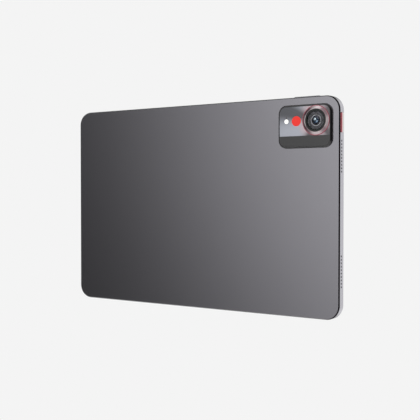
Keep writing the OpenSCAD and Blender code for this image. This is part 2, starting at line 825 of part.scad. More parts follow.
// Speaker box: ears at the two inner corners take the screws, and a nozzle feeds the sound holes
module speaker(side, y) {
    outer = speaker_x0 + speaker_l;
    end = speaker_h/2;
    top = speaker_z0 + speaker_t;
    nozzle_z = hole_z - nozzle_t/2;
    slot = hole_d + 0.3;
    color([0.13, 0.13, 0.14]) upright() scale([side, 1, 1]) translate([0, y, 0]) difference() {
        union() {
            block(speaker_x0 + ear, outer - nozzle_l + fit, -end, end, speaker_z0, top);
            block(speaker_x0, speaker_x0 + ear + fit, -end + ear, end - ear, speaker_z0, top);
            block(speaker_x0, speaker_x0 + ear + fit, -end, end, board_z, board_back_z);
            block(outer - nozzle_l, outer, -mesh_l/2, mesh_l/2, nozzle_z, nozzle_z + nozzle_t);
        }
        block(speaker_x0 + ear + speaker_wall, outer - nozzle_l - speaker_wall, -end + speaker_wall,
            end - speaker_wall, speaker_z0 + speaker_wall, top + over);
        block(outer - nozzle_l - 2*speaker_wall, outer + over, -row_l/2 - hole_d/2, row_l/2 + hole_d/2,
            hole_z - slot/2, hole_z + slot/2);
        for (e = [-1, 1])
            disc(speaker_x0 + ear/2, e*(end - ear/2), screw_hole_r, board_z - over, board_back_z + over);
    }
}

// Drivers: an oval magnet and cone under a thin front plate, one in each box
module speaker_drivers() {
    x0 = speaker_x0 + ear + speaker_wall + fit;
    x1 = speaker_x0 + speaker_l - nozzle_l - speaker_wall - fit;
    l = x1 - x0;
    h = speaker_h - 2*speaker_wall - 2*fit;
    z0 = speaker_z0 + speaker_t - driver_t;
    color([0.35, 0.35, 0.37]) upright() for (side = [-1, 1], y = speaker_ys)
        translate([side*(x0 + x1)/2, y, 0]) {
            plate(l, h, 1, z0 + driver_t - 0.5, z0 + driver_t);
            plate(l - 1.6, h - 1.6, (l - 1.6)/2 - 0.5, speaker_z0 + speaker_wall + fit, z0 + driver_t - 0.5);
        }
}

module speaker_meshes() {
    color([0.3, 0.3, 0.31]) upright() for (side = [-1, 1], y = speaker_ys)
        scale([side, 1, 1])
            block(inner_x - mesh_t, inner_x, y - mesh_l/2, y + mesh_l/2,
                hole_z - mesh_w/2, hole_z + mesh_w/2);
}

module power_key() {
    color([0.62, 0.16, 0.2]) upright() at_power() key(power_l, power_stand, power_gap, [0]);
}

module power_switch() {
    color([0.75, 0.75, 0.72]) upright() at_power() key_switch(0, power_flange_z);
}

module power_bracket() {
    color([0.68, 0.69, 0.71]) upright() at_power()
        key_bracket(power_l, power_flange_z, power_tail);
}

// Strip behind the switch, then a flat tail past the camera to the main board
module power_flex() {
    top = bracket_top(power_flange_z) + flex_t;
    tail_x = body_l/2 + top;
    low_y = power_y + power_tail;
    z0 = board_z - flex_t;
    color([0.75, 0.45, 0.15]) upright() {
        block(tail_x - flex_t, tail_x, low_y, power_y + 5, -1.4, 1.4);
        block(arm_x1 - 3, tail_x, low_y, low_y + tail_w, z0, board_z);
        block(arm_x1 - 3, arm_x1 - 3 + tail_w, arm_y1 - 6, low_y + tail_w, z0, board_z);
    }
}

module volume_rocker() {
    color([0.56, 0.56, 0.58]) upright() at_volume()
        key(volume_l, volume_stand, volume_gap, [-volume_switch_gap/2, volume_switch_gap/2]);
}

module volume_switches() {
    color([0.75, 0.75, 0.72]) upright() at_volume()
        for (end = [-1, 1]) key_switch(end*volume_switch_gap/2, volume_flange_z);
}

module volume_bracket() {
    color([0.68, 0.69, 0.71]) upright() at_volume()
        key_bracket(volume_l, volume_flange_z, volume_tail);
}

module volume_flex() {
    top = body_h + bracket_top(volume_flange_z) + flex_t;
    x0 = volume_x + volume_tail;
    z0 = board_z - flex_t;
    color([0.75, 0.45, 0.15]) upright() {
        block(x0, volume_x - volume_tail, top - flex_t, top, -1.4, 1.4);
        block(x0, x0 + tail_w, arm_y1 - 6, top, z0, board_z);
    }
}

module island_frame() {
    flange_l = island_l + 2*island_flange;
    flange_h = island_h + 2*island_flange;
    room_l = island_l - 2*deck_wall;
    room_h = island_h - 2*deck_wall;
    color([0.1, 0.1, 0.11]) upright() difference() {
        translate([island_x, island_y, 0]) difference() {
            union() {
                plate(island_l, island_h, island_r, inside_z - island_flange_t, island_z);
                plate(flange_l, flange_h, island_r + island_flange, inside_z - island_flange_t, inside_z);
            }
            edge_cut(island_l, island_h, island_r, island_z, island_bevel_in, island_bevel_down);
            plate(pocket_l, pocket_h, pocket_r, deck_z, island_z + over);
            plate(room_l, room_h, island_r - deck_wall, inside_z - island_flange_t - over, deck_z - deck_t);
        }
        disc(lens_x, lens_y, black_r + fit, deck_z - deck_t - over, deck_z + over);
        disc(lamp_x, lens_y, lamp_d/2 + fit, deck_z - deck_t - over, deck_z + over);
        disc(lamp_x, lens_y + mic_rise, mic_hole_r, deck_z - deck_t - over, deck_z + over);
    }
}

// The two plates in the island's pocket meet on one straight line
module pocket_plate(low, high) {
    intersection() {
        plate(pocket_l - 2*fit, pocket_h - 2*fit, pocket_r - fit, deck_z, island_z);
        block(-pocket_l, pocket_l, low, high, deck_z - over, island_z + over);
    }
}

module island_window() {
    seam = -pocket_h/2 + band_h;
    color([0.45, 0.48, 0.55]) upright() difference() {
        translate([island_x, island_y, 0]) pocket_plate(seam + fit, pocket_h);
        disc(lens_x, lens_y, black_r + fit, deck_z - over, island_z + over);
        disc(lamp_x, lens_y, lamp_d/2 + fit, deck_z - over, island_z + over);
        disc(lamp_x, lens_y + mic_rise, mic_hole_r, deck_z - over, island_z + over);
        disc(badge_x, lens_y, badge_d/2 + fit, island_z - badge_sink, island_z + over);
    }
}

module island_band() {
    seam = -pocket_h/2 + band_h;
    color([0.2, 0.2, 0.21]) upright() translate([island_x, island_y, 0]) pocket_plate(-pocket_h, seam);
}

// Polished flare around the black ring
module lens_collar() {
    out = accent_d/2 - accent_w;
    color([0.85, 0.85, 0.87]) upright() lens_turned([
        [black_r + fit, 0], [out, 0], [out, accent_stand - 0.1],
        [black_r + 0.5, collar_stand], [black_r + fit, collar_stand]
    ]);
}

module lens_accent_ring() {
    out = accent_d/2;
    color([0.75, 0.2, 0.25]) upright() lens_turned([
        [out - accent_w, 0], [out, 0], [out, accent_stand - 0.1], [out - 0.1, accent_stand],
        [out - accent_w, accent_stand]
    ]);
}

module lens_black_ring() {
    hole = black_r - black_w;
    seat = black_stand - lens_window_sink - lens_window_t;
    foot = -window_t - deck_t;
    color([0.04, 0.04, 0.05]) upright() lens_turned([
        [hole, foot], [black_r, foot], [black_r, black_stand - 0.3], [black_r - 0.3, black_stand],
        [hole + 0.3, black_stand], [hole, black_stand - 0.2], [hole, seat], [hole - 0.35, seat],
        [hole - 0.35, seat - 0.3], [hole, seat - 0.3]
    ]);
}

// Stepped baffle that narrows from the window down to the barrel
module lens_cone() {
    hole = black_r - black_w;
    wide = hole - fit;
    narrow = barrel_r + barrel_fit + 0.05;
    top = black_stand - lens_window_sink - lens_window_t - 0.3 - fit;
    deep = -window_t - deck_t;
    step_r = (wide - 0.6 - narrow)/cone_steps;
    step_z = 0.22;
    steps = [for (i = [0:cone_steps - 1], half = [0, 1])
        [wide - 0.6 - (i + half)*step_r, top - (i + 1)*step_z]];
    color([0.3, 0.31, 0.32]) upright()
        lens_turned(concat([[wide, deep], [wide, top], [wide - 0.6, top]], steps, [[narrow, deep]]));
}

module lens_window() {
    top = island_z + black_stand - lens_window_sink;
    color([0.3, 0.35, 0.45, 0.35]) upright()
        disc(lens_x, lens_y, black_r - black_w - fit, top - lens_window_t, top);
}

// Barrel with its domed front element, driven along the lens axis to focus
module lens_barrel() {
    crown = barrel_crown;
    rim = barrel_r - 0.6;
    ball = (rim*rim + barrel_dome*barrel_dome)/(2*barrel_dome);
    half = asin(rim/ball);
    arc = [for (i = [0:8]) [ball*sin(half*(1 - i/8)), crown - ball + ball*cos(half*(1 - i/8))]];
    low = crown - barrel_dome;
    foot = barrel_foot;
    color([0.06, 0.07, 0.1]) upright() lens_turned(concat(
        [[0, foot], [barrel_r, foot], [barrel_r, low], [barrel_r - 0.3, low + 0.15],
            [rim, low + 0.15], [rim, low]],
        [for (p = arc) if (p[0] < rim - 0.01 && p[0] > 0.01) p], [[0, crown]]));
}

module camera_module() {
    low = module_z;
    top = deck_z - deck_t - 0.1;
    color([0.2, 0.2, 0.22]) upright() translate([lens_x, lens_y, 0]) difference() {
        union() {
            block(-module_w/2, module_w/2, -module_w/2, module_w/2, low + sensor_board_t, top);
            block(-sensor_board_w/2, sensor_board_w/2, -module_w/2, module_w/2,
                low, low + sensor_board_t + fit);
        }
        disc(0, 0, barrel_r + barrel_fit, module_floor_z, top + over);
    }
}

module camera_flex() {
    z0 = board_z - flex_t;
    color([0.75, 0.45, 0.15]) upright() {
        block(camera_flex_x - flex_w/2, lens_x - sensor_board_w/2, lens_y - flex_w/2, lens_y + flex_w/2,
            z0, board_z);
        block(camera_flex_x - flex_w/2, camera_flex_x + flex_w/2, arm_y1 - 6, lens_y, z0, board_z);
    }
}

module lamp_window() {
    color([0.97, 0.96, 0.92]) upright() disc(lamp_x, lens_y, lamp_d/2, deck_z - deck_t, island_z + 0.05);
}

module lamp_led() {
    top = deck_z - deck_t;
    color([0.95, 0.85, 0.4]) upright() translate([lamp_x, lens_y, 0]) {
        block(-1.2, 1.2, -1.2, 1.2, top - 0.5, top);
        block(-1.7, 1.7, -1.7, 1.7, top - 0.9, top - 0.5 + fit);
    }
}

module badge() {
    color([0.9, 0.2, 0.15]) upright()
        disc(badge_x, lens_y, badge_d/2, island_z - badge_sink, island_z - badge_sink + badge_t);
}

module screw() {
    difference() {
        union() {
            disc(0, 0, screw_r, -fit, screw_l);
            disc(0, 0, head_d/2, -head_t, 0);
        }
        for (a = [0, 90]) rotate([0, 0, a]) block(-0.6, 0.6, -0.13, 0.13, -head_t - over, -head_t + 0.2);
    }
}

module screws() {
    color([0.6, 0.61, 0.63]) upright() {
        for (p = concat(board_screws, speaker_screws)) translate([p[0], p[1], board_z]) screw();
        for (p = usb_screws) translate([p[0], p[1], board_z - strap_t]) screw();
    }
}

rear_housing();
cover_glass();
border_print();
glass_tape();
surround();
display_panel();
light_guide();
backlight_tray();
support_plate();
display_flex();
front_camera();
front_camera_lens();
light_sensor();
antennas();
battery_cell(cell_x0);  // battery_cell_left
battery_cell(cell_x0 + cell_l + cell_gap);  // battery_cell_right
battery_board();
battery_tape();
battery_flex();
main_board();
processor();
board_chips();
shield_cans();
board_connectors();
graphite_sheet();
link_flex();
usb_board();
usb_shell();
usb_tongue();
usb_strap();
microphones();
speaker(1, speaker_ys[0]);  // speaker_top_right
speaker(1, speaker_ys[1]);  // speaker_bottom_right
speaker(-1, speaker_ys[0]);  // speaker_top_left
speaker(-1, speaker_ys[1]);  // speaker_bottom_left
speaker_drivers();
speaker_meshes();
power_key();
power_switch();
power_bracket();
power_flex();
volume_rocker();
volume_switches();
volume_bracket();
volume_flex();
island_frame();
island_window();
island_band();
lens_collar();
lens_accent_ring();
lens_black_ring();
lens_cone();
lens_window();
lens_barrel();
camera_module();
camera_flex();
lamp_window();
lamp_led();
badge();
screws();
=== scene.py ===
"""Tablet computer: finishes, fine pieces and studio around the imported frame."""

import math

import bmesh
import bpy
from bpy.props import FloatProperty, FloatVectorProperty, IntProperty, PointerProperty
from bpy.types import Operator, Panel, PropertyGroup
from mathutils import Matrix, Vector


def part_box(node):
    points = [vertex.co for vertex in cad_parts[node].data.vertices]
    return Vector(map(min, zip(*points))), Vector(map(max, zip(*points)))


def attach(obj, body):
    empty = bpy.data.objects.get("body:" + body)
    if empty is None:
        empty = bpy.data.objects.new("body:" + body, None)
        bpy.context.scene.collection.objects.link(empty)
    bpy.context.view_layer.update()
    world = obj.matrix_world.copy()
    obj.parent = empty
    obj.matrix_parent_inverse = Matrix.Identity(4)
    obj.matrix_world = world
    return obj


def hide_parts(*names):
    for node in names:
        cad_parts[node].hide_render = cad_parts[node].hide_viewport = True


bl_info = {
    "name": "Tablet computer",
    "version": (1, 0, 0),
    "blender": (4, 5, 0),
    "location": "View3D > Sidebar > Tablet",
    "description": "Finishes, fine pieces and studio of a tablet computer",
    "category": "Add Mesh",
}

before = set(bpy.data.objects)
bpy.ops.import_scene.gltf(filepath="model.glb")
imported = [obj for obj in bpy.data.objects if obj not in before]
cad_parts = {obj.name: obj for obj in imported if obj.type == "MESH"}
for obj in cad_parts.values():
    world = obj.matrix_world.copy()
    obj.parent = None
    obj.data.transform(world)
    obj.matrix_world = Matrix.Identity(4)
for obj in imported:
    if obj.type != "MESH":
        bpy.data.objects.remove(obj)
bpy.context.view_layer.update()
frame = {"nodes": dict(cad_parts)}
MM = 0.001


def span(node):
    """Lowest corner, highest corner and middle of a CAD node."""
    low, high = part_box(node)
    return low, high, (low + high) / 2


# ---------------------------------------------------------------- settings


def tint(name, description, default):
    return FloatVectorProperty(
        name=name, description=description, subtype="COLOR", size=3, min=0, max=1, default=default
    )


def share(name, description, default):
    return FloatProperty(
        name=name, description=description, subtype="FACTOR", min=0, max=1, default=default
    )


def length(name, description, default):
    return FloatProperty(
        name=name, description=description, subtype="DISTANCE", unit="LENGTH", default=default
    )


class TabletHousingSettings(PropertyGroup):
    colour: tint("Anodising", "Colour of the anodised housing", (0.345, 0.338, 0.366))
    roughness: share("Roughness", "How matt the blasted metal is", 0.24)
    bevel: length("Bevel", "Depth of the polished edge round the back", 0.0013)
    corner: length("Corner radius", "Outer corner radius seen from behind", 0.011)
    # The polished edge's colour, near black, is a painted dark reflection and shade, not the
    # metal's own colour.
    bevel_painted_dark: tint("Bevel colour", "Colour of the polished edge", (0.012, 0.012, 0.014))
    # Slots, holes and inner walls take this dark colour as painted shade, not as metal.
    inside: tint("Inside colour", "Colour of slots, holes and inner walls", (0.03, 0.03, 0.032))


class TabletKeySettings(PropertyGroup):
    # The key's silver front half is partly cut metal and partly a painted highlight of the light
    # falling on its front; the red back half is the anodising.
    red: tint("Power key red", "Anodising on the key's inner half", (0.50, 0.14, 0.165))
    silver: tint("Power key silver", "Cut metal on the key's outer half", (0.49, 0.475, 0.465))


class TabletIslandSettings(PropertyGroup):
    frame: tint("Frame", "Lacquer on the raised frame", (0.010, 0.010, 0.011))
    window: tint("Window", "Coating behind the camera window", (0.50, 0.52, 0.59))
    # The window glow colour is the painted sheen close to the lens, a painted highlight rather than
    # a coating.
    glow: tint("Window glow", "Coating close to the lens", (0.62, 0.51, 0.55))
    band: tint("Band", "Print along the window's foot", (0.040, 0.040, 0.042))
    badge: tint("Badge", "Enamel of the round badge", (0.80, 0.035, 0.025))


class TabletLensSettings(PropertyGroup):
    accent: tint("Accent ring", "Metallic red of the outer ring", (0.46, 0.15, 0.19))
    trim_inner: length("Trim inner radius", "Inside of the bright ring round the barrel", 0.0037)
    trim_outer: length("Trim outer radius", "Outside of the bright ring", 0.0041)
    glass: tint("Front element", "Colour of the coated front element", (0.02, 0.05, 0.10))
    segments: IntProperty(name="Segments", description="Steps round a turned piece", default=96)


class TabletSocketSettings(PropertyGroup):
    contacts: IntProperty(name="Contacts", description="Contacts on each face", default=12)
    pitch: length("Contact pitch", "Distance between contacts", 0.0005)
    blade: length("Blade", "Thickness of the tongue's blade", 0.0007)


class TabletStudioSettings(PropertyGroup):
    backdrop: share("Backdrop", "Brightness of floor and background", 0.905)
    focal: FloatProperty(name="Focal length", description="Camera lens in mm", default=69.66)
    distance_x: length("Camera X", "Camera place across", -0.37696)
    distance_y: length("Camera Y", "Camera place behind the tablet", 0.54424)
    height: length("Camera Z", "Camera height", 0.09370)
    heading: FloatProperty(
        name="Heading",
        description="Turn about the vertical",
        subtype="ANGLE",
        default=math.radians(213.900),
    )
    pitch: FloatProperty(
        name="Pitch", description="Tilt below level", subtype="ANGLE", default=math.radians(1.241)
    )


class TabletSettings(PropertyGroup):
    housing: PointerProperty(type=TabletHousingSettings)
    keys: PointerProperty(type=TabletKeySettings)
    island: PointerProperty(type=TabletIslandSettings)
    lens: PointerProperty(type=TabletLensSettings)
    socket: PointerProperty(type=TabletSocketSettings)
    studio: PointerProperty(type=TabletStudioSettings)


def chosen():
    return bpy.context.scene.tablet


# ---------------------------------------------------------------- shader maths


class Value:
    """A shader socket that takes part in Python expressions."""

    def __init__(self, shading, socket):
        self.shading = shading
        self.socket = socket

    def math(self, operation, *others):
        return self.shading.math(operation, self, *others)

    def __add__(self, other):
        return self.math("ADD", other)

    def __sub__(self, other):
        return self.math("SUBTRACT", other)

    def __rsub__(self, other):
        return self.shading.math("SUBTRACT", other, self)

    def __mul__(self, other):
        return self.math("MULTIPLY", other)

    def __truediv__(self, other):
        return self.math("DIVIDE", other)

    def __abs__(self):
        return self.math("ABSOLUTE")

    def __gt__(self, other):
        return self.math("GREATER_THAN", other)

    def __lt__(self, other):
        return self.math("LESS_THAN", other)

    def __pow__(self, other):
        return self.math("POWER", other)

    def __mod__(self, other):
        return self.math("FLOORED_MODULO", other)

    __radd__ = __add__
    __rmul__ = __mul__

    def within(self, low, high):
        """1 between low and high, 0 outside."""
        return (self > low) * (self < high)

    def rise(self, low, high):
        """Climbs smoothly from 0 at low to 1 at high."""
        return self.shading.node(
            "MapRange",
            {"interpolation_type": "SMOOTHSTEP"},
            {"Value": self, "From Min": low, "From Max": high},
        )


class Shading:
    """Adds nodes to one node tree."""

    def __init__(self, tree):
        self.tree = tree
        tree.nodes.clear()

    def node(self, kind, settings=None, values=None, out=0):
        made = self.tree.nodes.new("ShaderNode" + kind)
        for name, setting in (settings or {}).items():
            setattr(made, name, setting)
        for name, value in (values or {}).items():
            socket = made.inputs[name]
            if isinstance(value, Value):
                self.tree.links.new(value.socket, socket)
            else:
                socket.default_value = value
        if isinstance(out, tuple):
            return [Value(self, made.outputs[name]) for name in out]
        return Value(self, made.outputs[out]) if made.outputs else None

    def math(self, operation, *terms):
        return self.node("Math", {"operation": operation}, dict(enumerate(terms)))

    def place(self, centre=(0, 0, 0), turn=(0, 0, 0), stretch=(1, 1, 1)):
        """Object coordinates in millimetres from centre, turned and stretched."""
        here = self.node("TexCoord", out="Object")
        moved = self.node("VectorMath", {"operation": "SUBTRACT"}, {0: here, 1: tuple(centre)})
        scale = tuple(s / MM for s in stretch)
        return self.node(
            "Mapping", None, {"Vector": moved, "Rotation": turn, "Scale": scale}
        )

    def axes(self, vector):
        return self.node("SeparateXYZ", None, {0: vector}, out=("X", "Y", "Z"))

    def noise(self, vector, scale, detail=2.0, roughness=0.5):
        values = {"Vector": vector, "Scale": scale, "Detail": detail, "Roughness": roughness}
        return self.node("TexNoise", None, values)

    def mix(self, factor, first, second):
        colours = {0: factor, 6: first, 7: second}
        return self.node("Mix", {"data_type": "RGBA"}, colours, out=2)

    def fan(self, x, z, radius, highlight_lobes):
        """Sum of soft rays round an axis, each a direction, a spread and a strength."""
        total = 0
        for heading, spread, strength in highlight_lobes:
            heading = math.radians(heading)
            facing = (x * math.cos(heading) + z * math.sin(heading)) / radius
            total = strength * facing.rise(math.cos(math.radians(spread)), 1.0) + total
        return total

    def bump(self, height, depth_mm, strength=1.0):
        values = {"Height": height, "Distance": depth_mm * MM, "Strength": strength}
        return self.node("Bump", None, values)


def rgba(colour, level=1.0):
    return (colour[0] * level, colour[1] * level, colour[2] * level, 1.0)


def material(name, build):
    """A material whose shader takes the sockets that build returns."""
    made = bpy.data.materials.new(name)
    made.use_nodes = True
    shading = Shading(made.node_tree)
    surface = shading.node("BsdfPrincipled", None, build(shading), out="BSDF")
    shading.node("OutputMaterial", None, {"Surface": surface})
    return made


def dress(piece, made):
    piece.data.materials.clear()
    piece.data.materials.append(made)


def dress_nodes(made, *names):
    for name in names:
        dress(frame["nodes"][name], made)


# ---------------------------------------------------------------- finishes


def blasted(name, colour, roughness, metallic=1.0):
    """Bead-blasted, anodised metal."""

    def build(s):
        at = s.place()
        blast = s.noise(at, 7.0, 3.0, 0.6)
        cloud = s.noise(at, 0.05, 2.0)
        deep = s.mix(cloud, rgba(colour), rgba(colour, 0.95))
        return {
            "Base Color": s.mix(blast, deep, rgba(colour, 0.93)),
            "Metallic": metallic,
            "Roughness": roughness + 0.05 * (blast - 0.5),
            "Normal": s.bump(blast, 0.008, 0.3),
        }

    return material(name, build)


def housing_metal(finish):
    """Blasted metal whose edge round the back is cut and polished, that edge painted near black as
    a painted dark reflection and shade; slots, holes and inner walls carry painted shade.
    """
    low, high, middle = span("rear_housing")
    start = (high.y - finish.bevel) / MM + 0.02
    end = high.y / MM - 0.02
    half = (high - low) / 2 / MM
    corner = finish.corner / MM
    colour = finish.colour[:]
    painted_dark_edge = finish.bevel_painted_dark[:]
    inside = finish.inside[:]
    matt = finish.roughness

    def build(s):
        at = s.place((0, 0, middle.z))
        x, y, z = s.axes(at)
        cut = y.within(start, end)
        out_x = (abs(x) - (half.x - corner)).math("MAXIMUM", 0.0)
        out_z = (abs(z) - (half.z - corner)).math("MAXIMUM", 0.0)
        rounded = out_x.math("MINIMUM", out_z) > 0.3
        deep = (out_x * out_x + out_z * out_z) ** 0.5 + 0.13 * rounded < corner - 0.02
        # Painted shade: slots, holes and inner walls are coloured dark and matt instead of metal.
        painted_shade_inside = deep * y.within(low.y / MM + 0.1, start)
        blast = s.noise(at, 7.0, 3.0, 0.6)
        cloud = s.noise(at, 0.05, 2.0)
        deep = s.mix(cloud, rgba(colour), rgba(colour, 0.95))
        metal = s.mix(blast, deep, rgba(colour, 0.93))
        # Painted dark reflection and shade: the polished edge round the back is coloured near
        # black.
        edged_painted_dark = s.mix(cut, metal, rgba(painted_dark_edge))
        return {
            "Base Color": s.mix(painted_shade_inside, edged_painted_dark, rgba(inside)),
            "Metallic": 1 - painted_shade_inside,
            "Roughness": (matt + 0.05 * (blast - 0.5)) * (1 - cut) + 0.14 * cut + 0.5 * painted_shade_inside,
            "Normal": s.bump(blast * (1 - cut), 0.008, 0.3),
        }

    return material("housing_metal", build)


def polished(name, colour, roughness=0.12):
    """Turned or pressed bright metal with faint wipe marks."""

    def build(s):
        marks = s.noise(s.place(), 0.8, 4.0, 0.65)
        return {
            "Base Color": s.mix(marks, rgba(colour), rgba(colour, 0.88)),
            "Metallic": 1.0,
            "Roughness": roughness + 0.06 * marks,
        }

    return material(name, build)


def brushed(name, colour, roughness=0.3, turn=(0, 0, 0)):
    """Rolled sheet with long fine brush lines."""

    def build(s):
        lines = s.noise(s.place(turn=turn, stretch=(0.06, 1, 1)), 6.0, 4.0, 0.7)
        return {
            "Base Color": s.mix(lines, rgba(colour), rgba(colour, 0.8)),
            "Metallic": 1.0,
            "Roughness": roughness + 0.15 * (lines - 0.5),
            "Normal": s.bump(lines, 0.01, 0.3),
        }

    return material(name, build)


def lacquer(name, colour, roughness=0.14, coat=1.0, glow=0.0):
    """Deep gloss lacquer with slight orange peel and dust."""

    def build(s):
        at = s.place()
        peel = s.noise(at, 1.4, 2.0)
        dust = s.noise(at, 5.0, 3.0, 0.7).rise(0.55, 0.8)
        return {
            "Base Color": s.mix(dust, rgba(colour), rgba(colour, 1.25)),
            "Roughness": roughness + 0.1 * dust,
            "Specular IOR Level": 0.3,
            "Coat Weight": coat,
            "Coat Roughness": 0.04,
            # Emission here is a painted glow in the lacquer's own colour, used when glow is above
            # zero.
            "Emission Color": rgba(colour),
            "Emission Strength": glow,
            "Normal": s.bump(peel, 0.004, 0.2),
        }

    return material(name, build)


def moulded(name, colour, roughness=0.55, grain=4.0, depth=0.02):
    """Matt moulded plastic with a spark-eroded grain."""

    def build(s):
        at = s.place()
        grains = s.noise(at, grain, 3.0, 0.55)
        flow = s.noise(at, 0.15, 2.0)
        base = s.mix(flow, rgba(colour), rgba(colour, 0.88))
        return {
            "Base Color": s.mix(grains, base, rgba(colour, 0.75)),
            "Roughness": roughness + 0.14 * (grains - 0.5),
            "Normal": s.bump(grains, depth, 0.4),
        }

    return material(name, build)


def clear_glass(name, tint_colour, ior=1.5):
    """Polished clear glass with faint finger grease."""

    def build(s):
        smear = s.noise(s.place(), 0.04, 4.0, 0.65).rise(0.5, 0.8)
        return {
            "Base Color": s.mix(smear, rgba(tint_colour), rgba(tint_colour, 0.97)),
            "Roughness": 0.01 + 0.03 * smear,
            "IOR": ior,
            "Transmission Weight": 1.0,
        }

    return material(name, build)


def circuit_board(name, mask, copper):
    """Solder mask over etched traces, with plated vias."""

    def build(s):
        at = s.place()
        x, y, z = s.axes(at)
        bend = s.noise(at, 0.12, 1.0)
        trace = ((x + z + 9 * bend) % 0.5).within(0.0, 0.2)
        cells = s.node("TexVoronoi", None, {"Vector": at, "Scale": 0.5, "Randomness": 0.8})
        pad = cells.within(0.0, 0.16)
        ring = cells.within(0.07, 0.16)
        weave = s.noise(at, 6.0, 2.0)
        base = s.mix(trace, rgba(mask), rgba(mask, 1.5))
        base = s.mix(weave, base, rgba(mask, 0.8))
        return {
            "Base Color": s.mix(ring, s.mix(pad, base, rgba(mask, 0.2)), rgba(copper)),
            "Metallic": ring,
            "Roughness": 0.35 + 0.1 * weave - 0.1 * ring,
            "Coat Weight": 0.5 * (1 - ring),
            "Normal": s.bump(trace * 0.5 + ring, 0.03, 0.5),
        }

    return material(name, build)


def flexible_circuit(name, along="X"):
    """Amber film over parallel copper tracks."""

    def build(s):
        at = s.place()
        parts = dict(zip("XYZ", s.axes(at)))
        across = parts["Z"] if along == "X" else parts["X"]
        track = (across % 0.45).within(0.08, 0.3)
        film = s.noise(at, 0.6, 3.0)
        amber = s.mix(film, (0.45, 0.19, 0.035, 1), (0.38, 0.15, 0.03, 1))
        return {
            "Base Color": s.mix(track, amber, (0.62, 0.29, 0.10, 1)),
            "Metallic": track * 0.6,
            "Roughness": 0.32 + 0.1 * film,
            "Coat Weight": 0.4,
            "Normal": s.bump(track, 0.02, 0.4),
        }

    return material(name, build)


def foil_pouch(name):
    """Laminated battery foil, lightly crinkled, with a sealed seam."""

    def build(s):
        at = s.place()
        crease = s.noise(at, 0.35, 5.0, 0.6)
        fine = s.noise(at, 2.5, 3.0)
        return {
            "Base Color": s.mix(crease, (0.05, 0.052, 0.058, 1), (0.035, 0.037, 0.042, 1)),
            "Metallic": 0.65,
            "Roughness": 0.35 + 0.2 * fine,
            "Normal": s.bump(crease + 0.2 * fine, 0.12, 0.5),
        }

    return material(name, build)


def graphite(name):
    def build(s):
        flake = s.noise(s.place(), 3.5, 5.0, 0.75)
        return {
            "Base Color": s.mix(flake, (0.03, 0.03, 0.033, 1), (0.09, 0.09, 0.096, 1)),
            "Metallic": 0.4,
            "Roughness": 0.5 + 0.2 * (flake - 0.5),
            "Normal": s.bump(flake, 0.02, 0.4),
        }

    return material(name, build)


def gauze(name):
    """Woven steel gauze behind the sound holes."""

    def build(s):
        x, y, z = s.axes(s.place())
        weave = ((y % 0.12).within(0.0, 0.05) + (z % 0.12).within(0.0, 0.05)).rise(0.0, 1.0)
        return {
            "Base Color": s.mix(weave, (0.006, 0.006, 0.006, 1), (0.10, 0.10, 0.105, 1)),
            "Metallic": weave,
            "Roughness": 0.55 - 0.1 * weave,
            "Normal": s.bump(weave, 0.03, 0.6),
        }

    return material(name, build)


def moulded_package(name, colour):
    """Epoxy chip package with a ground top and a corner mark."""

    def build(s):
        at = s.place()
        ground = s.noise(s.place(stretch=(1, 1, 0.15)), 7.0, 3.0)
        speck = s.noise(at, 9.0, 2.0).rise(0.6, 0.8)
        flecked = s.mix(speck, rgba(colour), rgba(colour, 2.0))
        return {
            "Base Color": s.mix(ground, flecked, rgba(colour, 0.8)),
            "Roughness": 0.5 + 0.15 * (ground - 0.5),
            "Normal": s.bump(ground, 0.01, 0.35),
        }

    return material(name, build)


# ---------------------------------------------------------------- shapes


def solid(name, made, body, shape, replaced=()):
    """Turns a bmesh into a piece that rides on a body."""
    bmesh.ops.remove_doubles(shape, verts=shape.verts, dist=1e-7)
    bmesh.ops.recalc_face_normals(shape, faces=shape.faces)
    mesh = bpy.data.meshes.new(name)
    shape.to_mesh(mesh)
    shape.free()
    piece = bpy.data.objects.new(name, mesh)
    bpy.context.scene.collection.objects.link(piece)
    dress(piece, made)
    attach(piece, body)
    if replaced:
        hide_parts(*replaced)
    return piece


def turned(centre, points, segments):
    """Spins (radius, height) points round the line along Y through centre."""
    shape = bmesh.new()
    verts = [shape.verts.new(centre + Vector((r, h, 0))) for r, h in points]
    edges = [shape.edges.new(pair) for pair in zip(verts, verts[1:] + verts[:1])]
    bmesh.ops.spin(
        shape,
        geom=verts + edges,
        cent=centre,
        axis=(0, 1, 0),
        angle=math.tau,
        steps=segments,
        use_merge=True,
    )
    return shape


def smooth(piece, angle=30):
    """Shades a piece smoothly except across edges sharper than angle."""
    piece.data.shade_smooth()
    piece.data.set_sharp_from_angle(angle=math.radians(angle))


def box_shape(shape, centre, size, edge=0.0):
    """Adds one block to a bmesh, its edges rounded off when edge is given."""
    place = Matrix.Translation(centre) @ Matrix.Diagonal((*size, 1))
    made = bmesh.ops.create_cube(shape, size=1.0, matrix=place)["verts"]
    if edge:
        edges = list({e for v in made for e in v.link_edges})
        bmesh.ops.bevel(
            shape,
            geom=edges,
            offset=edge,
            affect="EDGES",
            segments=2,
            profile=0.5,
            material=-1,
        )


# ---------------------------------------------------------------- operators


class TABLET_OT_housing(Operator):
    """Blasted metal, with a polished edge, on the housing"""

    bl_idname = "tablet.housing"
    bl_label = "Housing"

    def execute(self, context):
        dress_nodes(housing_metal(chosen().housing), "rear_housing")
        dress_nodes(moulded("surround_plastic", (0.012, 0.012, 0.013), 0.5), "surround")
        return {"FINISHED"}


